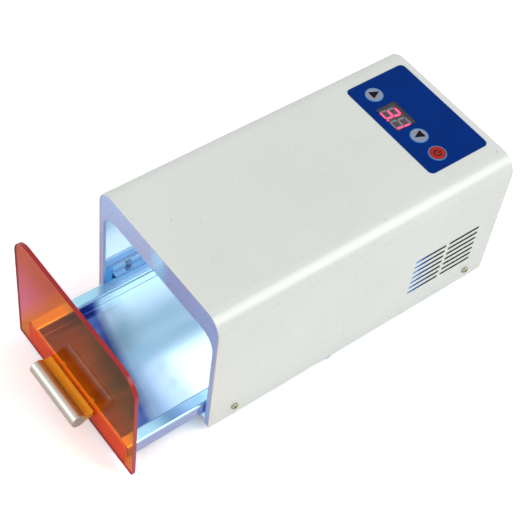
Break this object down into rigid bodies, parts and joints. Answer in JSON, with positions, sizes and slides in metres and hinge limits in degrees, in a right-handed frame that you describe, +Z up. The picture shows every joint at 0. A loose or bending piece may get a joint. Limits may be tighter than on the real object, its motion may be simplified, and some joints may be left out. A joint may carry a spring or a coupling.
{
  "type": "dental light curing unit",
  "caption": "Bench-top light curing unit: rounded steel case, polished pull-out tray behind an amber door with bar handle, lamps above, keys and digit display on top.",
  "frame": {"origin": "on the bench surface, under the middle of the whole unit's outline with the drawer as stored (open)", "axes": "+X to the right seen from the front, +Y from the door to the rear, +Z up"},
  "size_m": [0.145, 0.3542, 0.1283],
  "materials": {
    "cover_paint": "warm white powder coat, fine texture, semi-gloss",
    "frame_paint": "white powder coat, semi-gloss",
    "pan_steel": "dark grey powder coat",
    "panel_paint": "warm white powder coat",
    "zinc_screws": "zinc plated",
    "cover_screw_steel": "nickel plated, slightly dulled",
    "foot_rubber": "matt black",
    "rail_steel": "bright galvanised",
    "mirror_sheet": "polished aluminium reflector sheet",
    "bulkhead_sheet": "bright sheet",
    "tray_steel": "mirror polished stainless sheet",
    "amber_acrylic": "clear amber acrylic, polished edges",
    "handle_aluminium": "satin drawn bar",
    "handle_screw_steel": "zinc plated",
    "lamp_glass": "coated twin-tube lamp glass",
    "lamp_base_plastic": "white moulded base",
    "socket_plastic": "white moulded socket",
    "clip_steel": "spring steel",
    "panel_foil": "deep blue printed foil, fine texture",
    "window_smoke": "smoked acrylic",
    "key_grey": "grey-lavender cap with a light blue ring",
    "key_red": "red cap",
    "switch_black": "black moulded plastic",
    "board_green": "glass-fibre board, green resist",
    "display_grey": "grey display face",
    "bars_lit": "lit display bars",
    "bars_dark": "unlit display bars",
    "core_iron": "lacquered laminated core",
    "choke_ferrite": "ferrite",
    "can_sleeve": "dark blue sleeve",
    "relay_blue": "blue moulded case",
    "terminal_nylon": "natural nylon",
    "guard_chrome": "bright wire",
    "pin_nickel": "nickel plated",
    "rocker_red": "red moulded rocker"
  },
  "bodies": {
    "case": {"cover": "cover_paint", "front_frame": "frame_paint", "base_pan": "pan_steel", "rear_panel": "panel_paint", "foot_nuts": "zinc_screws", "cover_screws": "cover_screw_steel", "base_screws": "zinc_screws", "feet": "foot_rubber", "foot_screws": "zinc_screws", "rail_right": "rail_steel", "rail_left": "rail_steel", "rail_rivets": "zinc_screws", "liner": "mirror_sheet", "bulkhead": "bulkhead_sheet", "lamp_tube_1": "lamp_glass", "lamp_base_1": "lamp_base_plastic", "lamp_tube_2": "lamp_glass", "lamp_base_2": "lamp_base_plastic", "lamp_tube_3": "lamp_glass", "lamp_base_3": "lamp_base_plastic", "lamp_sockets": "socket_plastic", "socket_screws": "zinc_screws", "lamp_clips": "clip_steel", "panel_overlay": "panel_foil", "display_window": "window_smoke", "key_switches": "switch_black", "control_board": "board_green", "board_standoffs": "zinc_screws", "board_screws": "zinc_screws", "display_module": "display_grey", "display_bars_lit": "bars_lit", "display_bars_dark": "bars_dark", "power_board": "board_green", "power_standoffs": "zinc_screws", "power_screws": "zinc_screws", "transformer": "core_iron", "ballast_chokes": "choke_ferrite", "capacitors": "can_sleeve", "relay": "relay_blue", "terminal_block": "terminal_nylon", "fan_frame": "switch_black", "fan_guard": "guard_chrome", "fan_screws": "zinc_screws", "power_inlet": "switch_black", "inlet_pins": "pin_nickel", "inlet_screws": "zinc_screws", "switch_body": "switch_black", "fuse_holder": "switch_black"},
    "drawer": {"tray": "tray_steel", "tray_front": "tray_steel", "door": "amber_acrylic", "handle": "handle_aluminium", "handle_screws": "handle_screw_steel"},
    "key_up": {"key_up": "key_grey"},
    "key_down": {"key_down": "key_grey"},
    "key_start": {"key_start": "key_red"},
    "fan_rotor": {"fan_rotor": "switch_black"},
    "rocker": {"switch_rocker": "rocker_red"},
    "fuse_cap": {"fuse_cap": "switch_black"}
  },
  "joints": [
    {"name": "drawer_slide", "type": "slide", "parent": "case", "child": "drawer", "axis": [0, -1, 0], "range_m": [-0.0624, 0.045]},
    {"name": "key_up_press", "type": "slide", "parent": "case", "child": "key_up", "axis": [0, 0, -1], "range_m": [0, 0.0005], "stiffness_N_per_m": 800, "springref_m": -0.0005},
    {"name": "key_down_press", "type": "slide", "parent": "case", "child": "key_down", "axis": [0, 0, -1], "range_m": [0, 0.0005], "stiffness_N_per_m": 800, "springref_m": -0.0005},
    {"name": "key_start_press", "type": "slide", "parent": "case", "child": "key_start", "axis": [0, 0, -1], "range_m": [0, 0.0005], "stiffness_N_per_m": 800, "springref_m": -0.0005},
    {"name": "fan_spin", "type": "hinge", "parent": "case", "child": "fan_rotor", "pos_m": [-0.028, 0.16045, 0.073], "axis": [0, 1, 0], "continuous": true},
    {"name": "rocker_tilt", "type": "hinge", "parent": "case", "child": "rocker", "pos_m": [0.038, 0.16605, 0.071], "axis": [1, 0, 0], "range_deg": [-22, 0]},
    {"name": "fuse_cap_turn", "type": "hinge", "parent": "case", "child": "fuse_cap", "pos_m": [0.038, 0.16905, 0.099], "axis": [0, 1, 0], "range_deg": [0, 60]}
  ]
}
